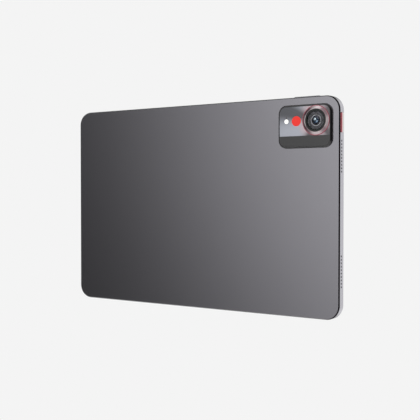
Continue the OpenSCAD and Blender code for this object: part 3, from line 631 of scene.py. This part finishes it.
class TABLET_OT_keys(Operator):
    """Anodised keys with their switches, brackets and circuits"""

    bl_idname = "tablet.keys"
    bl_label = "Keys"

    def execute(self, context):
        keys = chosen().keys
        red, silver = keys.red[:], keys.silver[:]

        def build(s):
            at = s.place()
            x, y, z = s.axes(at)
            blast = s.noise(at, 8.0, 3.0, 0.6)
            # Painted highlight: the key's front half is coloured pale silver, partly cut metal and
            # partly the light falling on its front; the back half is red.
            outer = (0.8 - y).rise(-0.35, 0.35)
            colour = s.mix(outer, rgba(red), rgba(silver))
            shade = s.mix(outer, rgba(red, 0.85), rgba(silver, 0.9))
            return {
                "Base Color": s.mix(blast, colour, shade),
                "Metallic": 1.0,
                "Roughness": 0.32 + 0.06 * (blast - 0.5),
                "Normal": s.bump(blast, 0.008, 0.3),
            }

        dress_nodes(material("two_tone_key_painted_highlight", build), "power_key")
        housing = chosen().housing
        dress_nodes(blasted("volume_metal", housing.colour[:], housing.roughness), "volume_rocker")
        ivory = moulded("switch_body", (0.55, 0.53, 0.46), 0.4, 3.0)
        dress_nodes(ivory, "power_switch", "volume_switches")
        spring = brushed("bracket_steel", (0.42, 0.43, 0.45), 0.28)
        dress_nodes(spring, "power_bracket", "volume_bracket")
        dress_nodes(flexible_circuit("power_circuit", "Z"), "power_flex")
        dress_nodes(flexible_circuit("volume_circuit"), "volume_flex")
        return {"FINISHED"}


class TABLET_OT_island(Operator):
    """Lacquered frame, coated window, band, badge and lamp"""

    bl_idname = "tablet.island"
    bl_label = "Camera island"

    def execute(self, context):
        island = chosen().island
        dress_nodes(lacquer("island_lacquer", island.frame[:], 0.16), "island_frame")
        dress_nodes(self.window(island), "island_window")
        dress_nodes(self.band(island), "island_band")
        # The badge's enamel gets a painted glow: it emits its own red at strength 0.45 though it is
        # no lamp.
        dress_nodes(lacquer("badge_enamel_painted_glow", island.badge[:], 0.4, 0.15, 0.45), "badge")
        dress_nodes(self.lamp(), "lamp_window")
        phosphor = moulded("lamp_phosphor", (0.80, 0.62, 0.12), 0.6, 6.0, 0.01)
        dress_nodes(phosphor, "lamp_led")
        return {"FINISHED"}

    def window(self, island):
        """Sunburst-brushed coating round the lens under polished glass, with painted highlights:
        bright rays round the lens and a painted pinkish sheen close to it.
        """
        centre = span("lens_collar")[2]
        base, glow = island.window[:], island.glow[:]
        highlight_lobes = ((64, 40, 0.75), (106, 34, 0.42), (190, 30, 0.4), (254, 28, 0.55), (336, 36, 0.85))

        def build(s):
            at = s.place(centre)
            x, y, z = s.axes(at)
            radius = (x * x + z * z) ** 0.5
            # Painted highlights: five soft bright rays round the lens and a pale sheen close to it
            # are coloured into the coating.
            painted_highlight = s.fan(x, z, radius, highlight_lobes)
            painted_sheen_near = 1 - radius.rise(11.0, 17.0)
            rays = s.noise(s.node("VectorMath", {"operation": "NORMALIZE"}, {0: at}), 60.0, 2.0)
            grit = s.noise(at, 4.0, 3.0, 0.7)
            bright = s.mix(painted_sheen_near, rgba(base), rgba(glow))
            level = 0.16 + painted_highlight + 0.1 * (rays - 0.5) + 0.06 * (grit - 0.5)
            return {
                "Base Color": s.mix(level, (0.02, 0.02, 0.022, 1), bright),
                "Metallic": 0.85,
                "Roughness": 0.26 + 0.1 * rays,
                "Coat Weight": 1.0,
                "Coat Roughness": 0.02,
            }

        return material("island_coating_painted_highlights", build)

    def band(self, island):
        """Printed band under the same polished glass."""
        colour = island.band[:]

        def build(s):
            at = s.place()
            ink = s.noise(at, 5.0, 3.0, 0.6)
            return {
                "Base Color": s.mix(ink, rgba(colour), rgba(colour, 0.85)),
                "Roughness": 0.4 + 0.1 * ink,
                "Coat Weight": 0.6,
                "Coat Roughness": 0.08,
            }

        return material("island_print", build)

    def lamp(self):
        """Milky diffuser, ringed like a stepped lens."""
        centre = span("lamp_window")[2]

        def build(s):
            x, y, z = s.axes(s.place(centre))
            radius = (x * x + z * z) ** 0.5
            groove = (radius % 0.3).within(0.0, 0.08)
            white = s.mix(radius.rise(1.1, 1.7), (1.0, 0.99, 0.95, 1), (0.82, 0.82, 0.80, 1))
            return {
                "Base Color": s.mix(groove, white, (0.86, 0.86, 0.83, 1)),
                "Roughness": 0.3,
                "Coat Weight": 0.5,
                "Emission Color": white,
                "Emission Strength": 0.75,
                "Normal": s.bump(1 - groove, 0.03, 0.5),
            }

        return material("lamp_diffuser", build)


class TABLET_OT_lens(Operator):
    """Rings, stepped cone and focusing barrel of the rear camera"""

    bl_idname = "tablet.lens"
    bl_label = "Rear camera"

    def execute(self, context):
        lens = chosen().lens
        dress_nodes(self.collar(), "lens_collar")
        dress_nodes(polished("accent_metal", lens.accent[:], 0.2), "lens_accent_ring")
        black = lacquer("black_ring_lacquer", (0.010, 0.014, 0.013), 0.35, 0.35)
        dress_nodes(black, "lens_black_ring")
        dress_nodes(self.cone(), "lens_cone")
        dress_nodes(clear_glass("lens_glass", (0.97, 0.98, 1.0), 1.17), "lens_window")
        dress_nodes(moulded("module_can", (0.03, 0.03, 0.033), 0.4), "camera_module")
        dress_nodes(flexible_circuit("camera_circuit", "Z"), "camera_flex")
        self.trim(lens)
        self.barrel(lens)
        return {"FINISHED"}

    def collar(self):
        """Turned ring with a rosy cast, painted with highlights in four rays and painted darker
        rose between them.
        """
        centre = span("lens_collar")[2]
        highlight_lobes = ((0, 34, 0.7), (90, 34, 0.85), (188, 34, 0.6), (266, 34, 0.6))

        def build(s):
            at = s.place(centre)
            x, y, z = s.axes(at)
            radius = (x * x + z * z) ** 0.5
            lines = s.noise(s.node("CombineXYZ", None, {"X": radius}), 5.0, 2.0)
            # Painted highlights: four bright rays in the rose colour, darker rose between them.
            painted_highlight = s.fan(x, z, radius, highlight_lobes)
            painted_light_rose = s.mix(0.2 + painted_highlight, (0.24, 0.145, 0.17, 1), (0.80, 0.70, 0.72, 1))
            return {
                "Base Color": painted_light_rose,
                "Metallic": 1.0,
                "Roughness": 0.3 + 0.1 * lines,
                "Normal": s.bump(lines, 0.01, 0.3),
            }

        return material("collar_metal_painted_highlights", build)

    def cone(self):
        """Matt stepped baffle, greyer on each tread."""
        centre = span("lens_cone")[2]

        def build(s):
            at = s.place(centre)
            x, y, z = s.axes(at)
            radius = (x * x + z * z) ** 0.5
            tread = (radius % 0.42).within(0.0, 0.12)
            grains = s.noise(at, 6.0, 3.0, 0.6)
            grey = s.mix(tread, (0.165, 0.155, 0.168, 1), (0.085, 0.088, 0.090, 1))
            return {
                "Base Color": s.mix(grains * 0.4, grey, (0.12, 0.12, 0.125, 1)),
                "Roughness": 0.55 + 0.1 * grains,
                "Normal": s.bump(1 - tread, 0.02, 0.4),
            }

        return material("cone_baffle", build)

    def trim(self, lens):
        """Bright sleeve that stands on the cone's lowest step, round the barrel."""
        centre = span("lens_barrel")[2]
        foot = span("lens_cone")[1].y - 1.15 * MM
        inner, outer = lens.trim_inner, lens.trim_outer
        points = [
            (inner, 0),
            (outer, 0),
            (outer, 0.75 * MM),
            (outer - 0.12 * MM, 0.88 * MM),
            (inner + 0.12 * MM, 0.88 * MM),
            (inner, 0.75 * MM),
        ]
        shape = turned(Vector((centre.x, foot, centre.z)), points, lens.segments)
        bright = polished("trim_metal", (0.93, 0.92, 0.94), 0.3)
        smooth(solid("lens_trim", bright, "tablet", shape))

    def barrel(self, lens):
        """Black cell with a grooved rim around a domed, coated front element."""
        low, high, centre = span("lens_barrel")
        radius = (high.x - low.x) / 2
        rim, top, foot = radius - 0.6 * MM, high.y, low.y
        crest = top - 0.30 * MM
        points = [(0, foot), (radius, foot), (radius, crest)]
        points += [(radius - 0.3 * MM, crest + 0.15 * MM)]
        for groove in range(3):
            start = radius - (0.33 + 0.09 * groove) * MM
            points += [(start, crest + 0.1 * MM), (start - 0.045 * MM, crest + 0.15 * MM)]
        points += [(rim, crest + 0.12 * MM), (rim, crest - 0.35 * MM), (0, crest - 0.35 * MM)]
        line = Vector((centre.x, 0, centre.z))
        shape = turned(line, points, lens.segments)
        cell = moulded("barrel_cell", (0.012, 0.014, 0.024), 0.3, 6.0, 0.01)
        smooth(solid("barrel_cell", cell, "lens_barrel", shape, ("lens_barrel",)))

        sag = top - (crest - 0.15 * MM)
        edge = rim - 0.03 * MM
        ball = (edge * edge + sag * sag) / (2 * sag)
        half = math.asin(edge / ball)
        arc = [
            (ball * math.sin(half * i / 16), top - ball + ball * math.cos(half * i / 16))
            for i in range(17)
        ]
        floor = crest - 0.3 * MM
        shape = turned(line, [(0, floor)] + arc + [(edge, floor)], lens.segments)
        smooth(solid("front_element", self.element(lens), "lens_barrel", shape))

    def element(self, lens):
        """Dark blue glass with two painted highlights: pale spots painted into its colour and glow
        as glints.
        """
        centre = span("lens_barrel")[2]
        glass = lens.glass[:]

        def build(s):
            x, y, z = s.axes(s.place(centre))

            def painted_spot(at_x, at_z, size):
                away = ((x - at_x) ** 2 + (z - at_z) ** 2) ** 0.5
                return 1 - away.rise(size * 0.45, size)

            radius = (x * x + z * z) ** 0.5
            # Painted highlights: two pale spots, the upper one bright and glowing, stand for glints
            # on the glass.
            upper_painted_spot = painted_spot(0.95, 0.95, 1.15)
            lower_painted_spot = painted_spot(-0.75, -0.8, 0.95)
            ring = radius.within(1.9, 2.05)
            deep = s.mix(radius.rise(1.6, 2.6), rgba(glass), (0.006, 0.009, 0.026, 1))
            deep = s.mix(ring * 0.5, deep, (0.05, 0.08, 0.13, 1))
            pale = s.mix(lower_painted_spot * 0.9, deep, (0.24, 0.32, 0.40, 1))
            spot_glow_painted = s.mix(lower_painted_spot, (0, 0, 0, 1), (0.10, 0.14, 0.18, 1))
            return {
                "Base Color": s.mix(upper_painted_spot, pale, (0.85, 0.98, 1.0, 1)),
                "Metallic": upper_painted_spot.math("MAXIMUM", lower_painted_spot * 0.9),
                "Roughness": 0.2,
                "Emission Color": s.mix(upper_painted_spot, spot_glow_painted, (0.5, 0.6, 0.65, 1)),
                "Emission Strength": 0.6,
                "Specular IOR Level": 0.25,
            }

        return material("coated_element_painted_glints", build)


class TABLET_OT_display(Operator):
    """Cover glass, border print, panel and the layers behind it"""

    bl_idname = "tablet.display"
    bl_label = "Display"

    def execute(self, context):
        dress_nodes(clear_glass("cover_glass_clear", (0.96, 0.97, 0.98), 1.33), "cover_glass")
        ink = moulded("border_ink", (0.0045, 0.0045, 0.005), 0.35, 7.0, 0.004)
        dress_nodes(ink, "border_print")
        dress_nodes(moulded("foam_tape", (0.02, 0.02, 0.021), 0.8, 2.2, 0.06), "glass_tape")
        dress_nodes(self.panel(), "display_panel")
        dress_nodes(self.guide(), "light_guide")
        dress_nodes(brushed("tray_sheet", (0.55, 0.56, 0.58), 0.25), "backlight_tray")
        dress_nodes(brushed("support_sheet", (0.36, 0.37, 0.39), 0.35), "support_plate")
        dress_nodes(flexible_circuit("display_circuit", "Z"), "display_flex")
        dress_nodes(moulded("front_camera_body", (0.01, 0.01, 0.011), 0.4), "front_camera")
        dress_nodes(self.front_lens(), "front_camera_lens")
        dress_nodes(lacquer("sensor_resin", (0.03, 0.012, 0.02), 0.1), "light_sensor")
        return {"FINISHED"}

    def panel(self):
        """Dark switched-off panel with its grid of coloured cells."""

        def build(s):
            x, y, z = s.axes(s.place())
            third = (x % 0.12) / 0.12
            red = third.within(0.0, 0.33)
            warm = s.mix(red, (0.010, 0.011, 0.014, 1), (0.012, 0.011, 0.013, 1))
            cells = s.mix(third.within(0.66, 1.0), warm, (0.010, 0.011, 0.016, 1))
            line = (z % 0.12).within(0.0, 0.02)
            return {
                "Base Color": s.mix(line, cells, (0.0095, 0.010, 0.0125, 1)),
                "Roughness": 0.22,
                "Specular IOR Level": 0.2,
            }

        return material("panel_cells", build)

    def guide(self):
        """Clear acrylic dotted on its back."""

        def build(s):
            at = s.place()
            dots = s.node("TexVoronoi", None, {"Vector": at, "Scale": 1.4, "Randomness": 0.2})
            dot = dots < 0.25
            return {
                "Base Color": s.mix(dot, (0.80, 0.84, 0.88, 1), (0.97, 0.97, 0.97, 1)),
                "Roughness": 0.06 + 0.4 * dot,
                "Coat Weight": 0.8,
            }

        return material("dotted_acrylic", build)

    def front_lens(self):
        centre = span("front_camera_lens")[2]

        def build(s):
            x, y, z = s.axes(s.place(centre))
            radius = (x * x + z * z) ** 0.5
            rim = radius.rise(0.3, 1.1)
            return {
                "Base Color": s.mix(rim, (0.02, 0.05, 0.12, 1), (0.006, 0.006, 0.009, 1)),
                "Roughness": 0.05,
                "Coat Weight": 1.0,
                "Coat Roughness": 0.01,
            }

        return material("front_lens_coating", build)


class TABLET_OT_boards(Operator):
    """Circuit boards with chips, cans, connectors and small components"""

    bl_idname = "tablet.boards"
    bl_label = "Boards"

    def execute(self, context):
        gold = (0.75, 0.50, 0.18)
        board = circuit_board("main_board_mask", (0.010, 0.075, 0.032), gold)
        dress_nodes(board, "main_board", "usb_board")
        dress_nodes(circuit_board("battery_board_mask", (0.012, 0.09, 0.03), gold), "battery_board")
        dress_nodes(moulded_package("processor_epoxy", (0.022, 0.022, 0.024)), "processor")
        dress_nodes(moulded_package("chip_epoxy", (0.028, 0.028, 0.030)), "board_chips")
        dress_nodes(brushed("can_tinplate", (0.58, 0.59, 0.60), 0.3), "shield_cans")
        resin = moulded("connector_resin", (0.42, 0.34, 0.18), 0.5, 5.0, 0.01)
        dress_nodes(resin, "board_connectors")
        dress_nodes(graphite("graphite_film"), "graphite_sheet")
        dress_nodes(flexible_circuit("link_circuit"), "link_flex")
        dress_nodes(self.copper_print(), "antennas")
        dress_nodes(brushed("microphone_gold", (0.75, 0.55, 0.25), 0.25), "microphones")
        self.passives()
        return {"FINISHED"}

    def passives(self):
        """Rows of small capped resistors and capacitors on the bare part of the board."""
        corner = span("processor")[0]
        board = span("main_board")[1].y
        start = Vector((corner.x - 2 * MM, board, corner.z - 47 * MM))
        pitch = 2.0
        body_size = Vector((1.0, 0.5, 0.5))
        shape = bmesh.new()
        for row in range(11):
            for place in range(9):
                if (row * 5 + place * 3) % 7 in (1, 4):
                    continue
                across = Vector((pitch * place, 0.2, 3 * row)) * MM
                box_shape(shape, start + across, body_size * MM)

        def build(s):
            at = s.place(start)
            x = s.axes(at)[0]
            along = (x + 10.5 * pitch) % pitch
            core = along.within(0.7, 1.3)
            grain = s.noise(at, 9.0, 2.0)
            kind = s.noise(at, 0.31, 1.0) < 0.5
            body = s.mix(kind, (0.32, 0.20, 0.10, 1), (0.03, 0.03, 0.032, 1))
            return {
                "Base Color": s.mix(1 - core, body, (0.62, 0.62, 0.60, 1)),
                "Metallic": 1 - core,
                "Roughness": 0.3 + 0.15 * grain,
            }

        solid("board_passives", material("capped_parts", build), "tablet", shape)

    def copper_print(self):
        """Copper antenna pattern on a matt carrier."""

        def build(s):
            at = s.place()
            x, y, z = s.axes(at)
            tarnish = s.noise(at, 0.7, 4.0, 0.6)
            gap = ((x + z) % 3.0).within(0.0, 0.4)
            copper = s.mix(tarnish, (0.72, 0.36, 0.18, 1), (0.50, 0.24, 0.13, 1))
            return {
                "Base Color": s.mix(gap, copper, (0.03, 0.03, 0.03, 1)),
                "Metallic": 1 - gap,
                "Roughness": 0.3 + 0.2 * tarnish,
                "Normal": s.bump(1 - gap, 0.03, 0.5),
            }

        return material("antenna_copper", build)


class TABLET_OT_power(Operator):
    """Battery cells with their tape and circuit"""

    bl_idname = "tablet.battery"
    bl_label = "Battery"

    def execute(self, context):
        dress_nodes(foil_pouch("cell_foil"), "battery_cell_left", "battery_cell_right")
        dress_nodes(moulded("pull_tape", (0.66, 0.66, 0.60), 0.6, 2.5, 0.02), "battery_tape")
        dress_nodes(flexible_circuit("battery_circuit"), "battery_flex")
        return {"FINISHED"}


class TABLET_OT_sound(Operator):
    """Speakers, their drivers and the gauze behind the sound holes"""

    bl_idname = "tablet.sound"
    bl_label = "Speakers"

    def execute(self, context):
        boxes = [f"speaker_{row}_{side}" for row in ("top", "bottom") for side in ("left", "right")]
        dress_nodes(moulded("speaker_box", (0.018, 0.018, 0.02), 0.5, 3.0), *boxes)
        dress_nodes(brushed("driver_steel", (0.12, 0.12, 0.125), 0.4), "speaker_drivers")
        dress_nodes(gauze("sound_gauze"), "speaker_meshes")
        return {"FINISHED"}


class TABLET_OT_socket(Operator):
    """Socket shell, tongue and its gold contacts"""

    bl_idname = "tablet.socket"
    bl_label = "Socket"

    def execute(self, context):
        steel = brushed("shell_steel", (0.60, 0.61, 0.63), 0.22)
        dress_nodes(steel, "usb_shell", "usb_strap")
        self.contacts(chosen().socket)
        dress_nodes(moulded("tongue_resin", (0.012, 0.012, 0.013), 0.4, 5.0, 0.01), "usb_tongue")
        dress_nodes(brushed("screw_zinc", (0.42, 0.43, 0.45), 0.3), "screws")
        return {"FINISHED"}

    def contacts(self, socket):
        """Gold contacts along both faces of the tongue's blade."""
        high, middle = span("usb_tongue")[1:]
        shape = bmesh.new()
        size = Vector((3.1 * MM, 0.05 * MM, socket.pitch * 0.5))
        for face in (-1, 1):
            for place in range(socket.contacts):
                across = (place - (socket.contacts - 1) / 2) * socket.pitch
                height = middle.y + face * socket.blade / 2
                box_shape(shape, Vector((high.x - 2.2 * MM, height, middle.z + across)), size)
        gold = polished("contact_gold", (0.83, 0.60, 0.25), 0.22)
        solid("usb_contacts", gold, "tablet", shape)


class TABLET_OT_studio(Operator):
    """Pale floor, soft surroundings and one softbox"""

    bl_idname = "tablet.studio"
    bl_label = "Studio"

    def execute(self, context):
        studio = chosen().studio
        context.scene.view_settings.view_transform = "Standard"
        self.surroundings(context, studio.backdrop)
        self.floor(context, studio.backdrop)
        self.softbox(context, "high_softbox", (0.35, 1.1, 0.95), (-0.11, 0, 0.14), 0.5, 0.5, 3.0)
        return {"FINISHED"}

    def glow(self, s, way):
        """How bright the soft surroundings are along a direction."""

        def source(aim, outer, inner):
            aim = Vector(aim).normalized()
            product = {"operation": "DOT_PRODUCT"}
            facing = s.node("VectorMath", product, {0: way, 1: aim}, out="Value")
            return facing.rise(math.cos(math.radians(outer)), math.cos(math.radians(inner)))

        y, z = s.axes(way)[1:]
        front = source((0.0847, 0.9793, 0.184), 39, 1)
        behind = source((-0.62, -0.78, 0.10), 62, 22)
        side = source((0.95, -0.45, 0.15), 36, 8)
        below = (-1 * z).rise(0.24, 0.62)
        above = z.rise(0.5, 0.95)
        fill = 0.03 + 0.8 * below + 0.35 * above + 0.3 * (-1 * y).rise(0.1, 0.5)
        return fill + 1.27 * front + 1.0 * behind + 0.8 * side

    def surroundings(self, context, level):
        """Soft source behind the camera, bright wall opposite, dark sides."""
        world = bpy.data.worlds.new("surroundings")
        context.scene.world = world
        world.use_nodes = True
        s = Shading(world.node_tree)
        way = s.node("TexCoord", out="Generated")
        white = (1, 1, 1, 1)
        backdrop = s.node("Background", None, {"Color": white, "Strength": level})
        lit = s.node("Background", None, {"Color": white, "Strength": self.glow(s, way)})
        seen = s.node("LightPath", out="Is Camera Ray")
        both = s.node("MixShader", None, {0: seen, 1: lit, 2: backdrop})
        s.node("OutputWorld", None, {"Surface": both})

    def floor(self, context, level):
        """Pale floor that lets the soft light of the surroundings up through it."""
        shape = bmesh.new()
        bmesh.ops.create_circle(shape, cap_ends=True, radius=6.0, segments=64)
        mesh = bpy.data.meshes.new("studio_floor")
        shape.to_mesh(mesh)
        shape.free()
        floor = bpy.data.objects.new("studio_floor", mesh)
        context.scene.collection.objects.link(floor)
        made = bpy.data.materials.new("pale_floor")
        made.use_nodes = True
        s = Shading(made.node_tree)
        pale = s.node("Emission", None, {"Color": (1, 1, 1, 1), "Strength": level})
        through = s.node("BsdfTransparent")
        seen = s.node("LightPath", out="Is Camera Ray")
        both = s.node("MixShader", None, {0: seen, 1: through, 2: pale})
        s.node("OutputMaterial", None, {"Surface": both})
        dress(floor, made)

    def softbox(self, context, name, place, aim, width, height, power):
        lamp = bpy.data.lights.new(name, "AREA")
        lamp.shape = "RECTANGLE"
        lamp.size, lamp.size_y, lamp.energy = width, height, power
        box = bpy.data.objects.new(name, lamp)
        box.location = place
        box.rotation_euler = (Vector(aim) - Vector(place)).to_track_quat("-Z", "Y").to_euler()
        context.scene.collection.objects.link(box)


class TABLET_OT_camera(Operator):
    """Camera behind the tablet, nearer to its key edge"""

    bl_idname = "tablet.camera"
    bl_label = "Camera"

    def execute(self, context):
        studio = chosen().studio
        data = bpy.data.cameras.new("camera")
        data.sensor_width = 36.0
        data.lens = studio.focal
        data.clip_start, data.clip_end = 0.01, 50.0
        camera = bpy.data.objects.new("camera", data)
        camera.location = (studio.distance_x, studio.distance_y, studio.height)
        camera.rotation_euler = (math.pi / 2 - studio.pitch, 0, studio.heading)
        context.scene.collection.objects.link(camera)
        context.scene.camera = camera
        return {"FINISHED"}


STEPS = (
    TABLET_OT_studio,
    TABLET_OT_camera,
    TABLET_OT_housing,
    TABLET_OT_keys,
    TABLET_OT_island,
    TABLET_OT_lens,
    TABLET_OT_display,
    TABLET_OT_boards,
    TABLET_OT_power,
    TABLET_OT_sound,
    TABLET_OT_socket,
)


class TABLET_PT_panel(Panel):
    """Lists the tablet's steps and settings"""

    bl_label = "Tablet computer"
    bl_idname = "TABLET_PT_panel"
    bl_space_type = "VIEW_3D"
    bl_region_type = "UI"
    bl_category = "Tablet"

    def draw(self, context):
        for step in STEPS:
            self.layout.operator(step.bl_idname)
        for name in TabletSettings.__annotations__:
            group = getattr(context.scene.tablet, name)
            column = self.layout.box().column()
            for setting in type(group).__annotations__:
                column.prop(group, setting)


CLASSES = (
    TabletHousingSettings,
    TabletKeySettings,
    TabletIslandSettings,
    TabletLensSettings,
    TabletSocketSettings,
    TabletStudioSettings,
    TabletSettings,
    *STEPS,
    TABLET_PT_panel,
)


def register():
    for each in CLASSES:
        bpy.utils.register_class(each)
    bpy.types.Scene.tablet = PointerProperty(type=TabletSettings)


def unregister():
    del bpy.types.Scene.tablet
    for each in reversed(CLASSES):
        bpy.utils.unregister_class(each)


def main():
    register()
    for step in STEPS:
        group, name = step.bl_idname.split(".")
        if getattr(getattr(bpy.ops, group), name)() != {"FINISHED"}:
            raise RuntimeError(f"{step.bl_label} did not finish")


if __name__ == "__main__":
    main()
